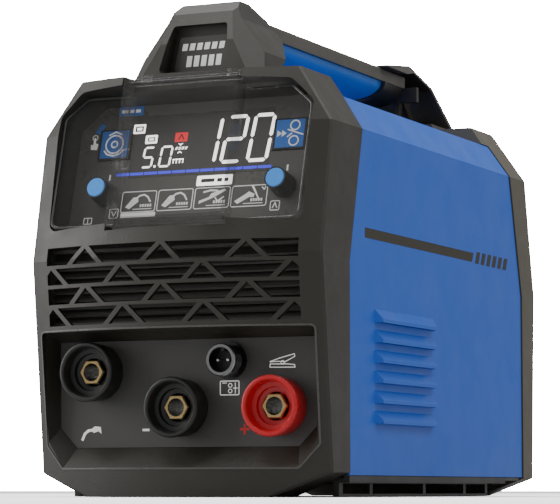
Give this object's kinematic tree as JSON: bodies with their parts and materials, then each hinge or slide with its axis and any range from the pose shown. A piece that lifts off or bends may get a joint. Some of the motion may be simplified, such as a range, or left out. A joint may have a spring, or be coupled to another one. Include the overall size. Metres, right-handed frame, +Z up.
{
  "type": "mig welding machine",
  "caption": "Compact portable MIG welding machine with faceted dark ends, a blue sheet-metal body, a hinged clear cover over the display, cable sockets, a side door and a carrying handle.",
  "frame": {"origin": "centre of the bounding box on the surface the machine stands on", "axes": "+X to the right seen from the front, +Y from the front to the rear, +Z up"},
  "size_m": [0.1556, 0.3009, 0.2355],
  "materials": {
    "case_plastic": "fine grained moulding",
    "tray_plastic": "matte",
    "blue_paint": "satin powder coat",
    "blue_plastic": "satin",
    "light_blue_plastic": "gloss",
    "black_steel": "satin powder coat",
    "clear_cover": "clear, lightly tinted",
    "display_plastic": "satin",
    "display_glass": "gloss black window",
    "key_plastic": "gloss",
    "knob_plastic": "ribbed",
    "circuit_board": "solder mask",
    "encoder_metal": "plain",
    "socket_plastic": "moulded",
    "red_socket_plastic": "moulded",
    "brass": "turned",
    "bright_steel": "zinc plated",
    "chrome": "polished",
    "core_plastic": "matte",
    "black_plastic": "matte",
    "red_plastic": "gloss",
    "plate_plastic": "gloss plate",
    "aluminium": "extruded",
    "sleeve": "printed sleeve",
    "ferrite": "sintered",
    "copper": "enamelled copper",
    "motor_paint": "plain",
    "arm_plastic": "satin"
  },
  "bodies": {
    "chassis": {"front_bezel": "case_plastic", "rear_bezel": "case_plastic", "handle_arch": "case_plastic", "handle_rail": "case_plastic", "handle_bracket": "case_plastic", "connector_panel": "tray_plastic", "vent_louvres": "tray_plastic", "wrap_cover": "blue_paint", "handle_grip": "blue_plastic", "base_tray": "black_steel", "rear_panel": "black_steel", "divider_plate": "black_steel", "display_panel": "display_plastic", "display_lens": "display_glass", "display_board": "circuit_board", "main_board": "circuit_board", "encoders": "encoder_metal", "torch_socket": "socket_plastic", "negative_socket": "socket_plastic", "positive_socket": "red_socket_plastic", "socket_inserts": "brass", "control_pins": "brass", "gas_inlet": "brass", "wire_guides": "brass", "socket_nuts": "bright_steel", "cover_hinge_pin": "bright_steel", "door_hinge_pin": "bright_steel", "panel_screws": "bright_steel", "control_socket": "chrome", "control_core": "core_plastic", "fan_housing": "black_plastic", "switch_frame": "black_plastic", "cable_gland": "black_plastic", "spool_hub": "black_plastic", "nameplate": "plate_plastic", "heat_sinks": "aluminium", "feeder_housing": "aluminium", "filter_capacitors": "sleeve", "transformer_core": "ferrite", "transformer_winding": "copper", "feed_motor": "motor_paint"},
    "display_cover": {"display_cover": "clear_cover"},
    "left_knob": {"left_knob": "knob_plastic", "left_knob_cap": "light_blue_plastic"},
    "right_knob": {"right_knob": "knob_plastic", "right_knob_cap": "light_blue_plastic"},
    "left_key": {"left_key": "key_plastic"},
    "right_key": {"right_key": "key_plastic"},
    "side_door": {"side_door": "blue_paint"},
    "door_latch": {"door_latch": "black_plastic"},
    "spool": {"wire_spool": "black_plastic", "wire_pack": "copper"},
    "drive_roll": {"drive_roll": "bright_steel"},
    "pressure_arm": {"pressure_arm": "arm_plastic"},
    "idler_roll": {"idler_roll": "bright_steel"},
    "tension_lever": {"tension_knob": "knob_plastic", "tension_spring": "bright_steel"},
    "fan_rotor": {"fan_rotor": "black_plastic"},
    "switch_rocker": {"switch_rocker": "red_plastic"}
  },
  "joints": [
    {"name": "cover_hinge", "type": "hinge", "parent": "chassis", "child": "display_cover", "pos_m": [0, -0.12225, 0.19452], "axis": [-1, 0, 0], "range_deg": [0, 80]},
    {"name": "left_knob_turn", "type": "hinge", "parent": "chassis", "child": "left_knob", "pos_m": [-0.0467, -0.11446, 0.14255], "axis": [0, -0.9636, 0.2672], "continuous": true},
    {"name": "right_knob_turn", "type": "hinge", "parent": "chassis", "child": "right_knob", "pos_m": [0.0467, -0.11446, 0.14255], "axis": [0, -0.9636, 0.2672], "continuous": true},
    {"name": "left_key_press", "type": "slide", "parent": "chassis", "child": "left_key", "axis": [0, 0.9636, -0.2672], "range_m": [0, 0.0008], "stiffness_N_per_m": 1000},
    {"name": "right_key_press", "type": "slide", "parent": "chassis", "child": "right_key", "axis": [0, 0.9636, -0.2672], "range_m": [0, 0.0008], "stiffness_N_per_m": 1000},
    {"name": "door_hinge", "type": "hinge", "parent": "chassis", "child": "side_door", "pos_m": [-0.0729, 0.01, 0.1706], "axis": [0, 1, 0], "range_deg": [0, 90]},
    {"name": "latch_slide", "type": "slide", "parent": "side_door", "child": "door_latch", "axis": [0, 0, -1], "range_m": [0, 0.005]},
    {"name": "spool_turn", "type": "hinge", "parent": "chassis", "child": "spool", "pos_m": [-0.0435, 0.045, 0.112], "axis": [1, 0, 0], "continuous": true},
    {"name": "drive_roll_turn", "type": "hinge", "parent": "chassis", "child": "drive_roll", "pos_m": [-0.0465, -0.055, 0.0458], "axis": [1, 0, 0], "continuous": true},
    {"name": "pressure_arm_lift", "type": "hinge", "parent": "chassis", "child": "pressure_arm", "pos_m": [-0.04, -0.033, 0.074], "axis": [-1, 0, 0], "range_deg": [0, 1.2]},
    {"name": "idler_roll_turn", "type": "hinge", "parent": "pressure_arm", "child": "idler_roll", "pos_m": [-0.0465, -0.055, 0.0682], "axis": [1, 0, 0], "continuous": true},
    {"name": "tension_lever_tilt", "type": "hinge", "parent": "chassis", "child": "tension_lever", "pos_m": [-0.0465, -0.0805, 0.068], "axis": [1, 0, 0], "range_deg": [0, 45]},
    {"name": "fan_turn", "type": "hinge", "parent": "chassis", "child": "fan_rotor", "pos_m": [0.0255, 0.115, 0.1], "axis": [0, 1, 0], "continuous": true},
    {"name": "power_switch", "type": "hinge", "parent": "chassis", "child": "switch_rocker", "pos_m": [-0.045, 0.1284, 0.14], "axis": [-1, 0, 0], "range_deg": [0, 16]}
  ],
  "couplings": [
    {"joint": "idler_roll_turn", "follows": "drive_roll_turn", "ratio": -1.2}
  ]
}
